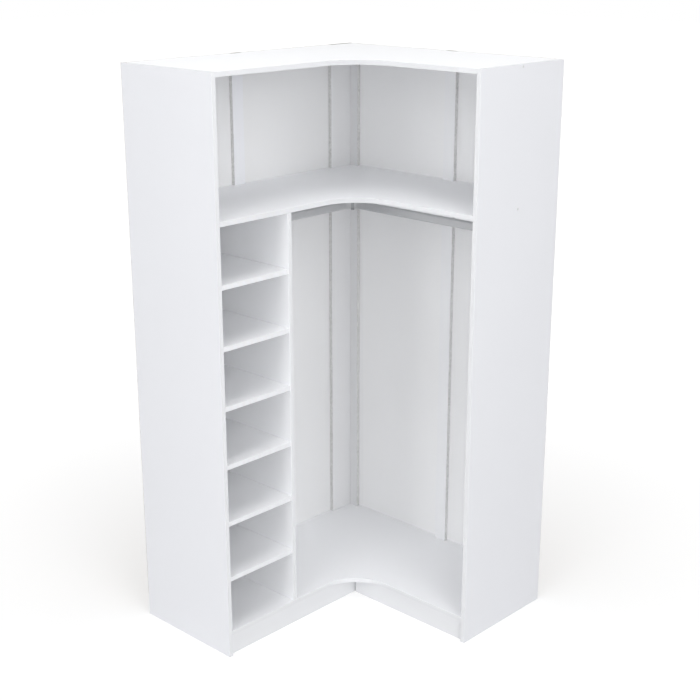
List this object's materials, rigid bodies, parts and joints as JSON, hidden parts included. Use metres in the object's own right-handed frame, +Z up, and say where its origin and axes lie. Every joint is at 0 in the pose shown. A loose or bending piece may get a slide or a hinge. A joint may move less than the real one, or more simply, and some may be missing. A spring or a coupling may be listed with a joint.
{
  "type": "corner wardrobe",
  "caption": "Open corner wardrobe in white faced board: two wings, L-shaped shelves with a rounded inner corner, a shelf column and a bent hanging rail.",
  "frame": {"origin": "on the floor, under the middle of the outline's bounding box", "axes": "+Z up; the room corner is at -X, +Y; the left-hand wing runs from it towards -Y and opens towards +X; the right-hand wing runs from it towards +X and opens towards -Y"},
  "size_m": [0.98, 1.082, 2],
  "materials": {
    "faced_board": "white melamine-faced chipboard, fine matt grain, white edging",
    "batten": "white melamine-faced chipboard strip, raw sawn ends",
    "back_sheet": "thin hardboard, white inside and plain brown outside",
    "rail_tube": "satin oval steel tube",
    "rail_fittings": "satin zinc castings and strap",
    "screws": "zinc-plated"
  },
  "bodies": {
    "root": {"left_end_panel": "faced_board", "right_end_panel": "faced_board", "top_board": "faced_board", "hat_shelf": "faced_board", "floor_board": "faced_board", "divider_panel": "faced_board", "column_shelf_1": "faced_board", "column_shelf_2": "faced_board", "column_shelf_3": "faced_board", "column_shelf_4": "faced_board", "column_shelf_5": "faced_board", "column_shelf_6": "faced_board", "left_plinth": "faced_board", "right_plinth": "faced_board", "plinth_corner_cleat": "faced_board", "left_rear_bearer": "faced_board", "right_rear_bearer": "faced_board", "left_batten": "batten", "corner_batten_wide": "batten", "corner_batten_narrow": "batten", "right_batten": "batten", "left_back_inner": "back_sheet", "left_back_outer": "back_sheet", "right_back_inner": "back_sheet", "right_back_outer": "back_sheet", "hanging_rail": "rail_tube", "rail_socket_divider": "rail_fittings", "rail_socket_end_panel": "rail_fittings", "rail_hanger": "rail_fittings", "connecting_screw_top": "screws", "connecting_screw_hat": "screws"}
  },
  "joints": []
}
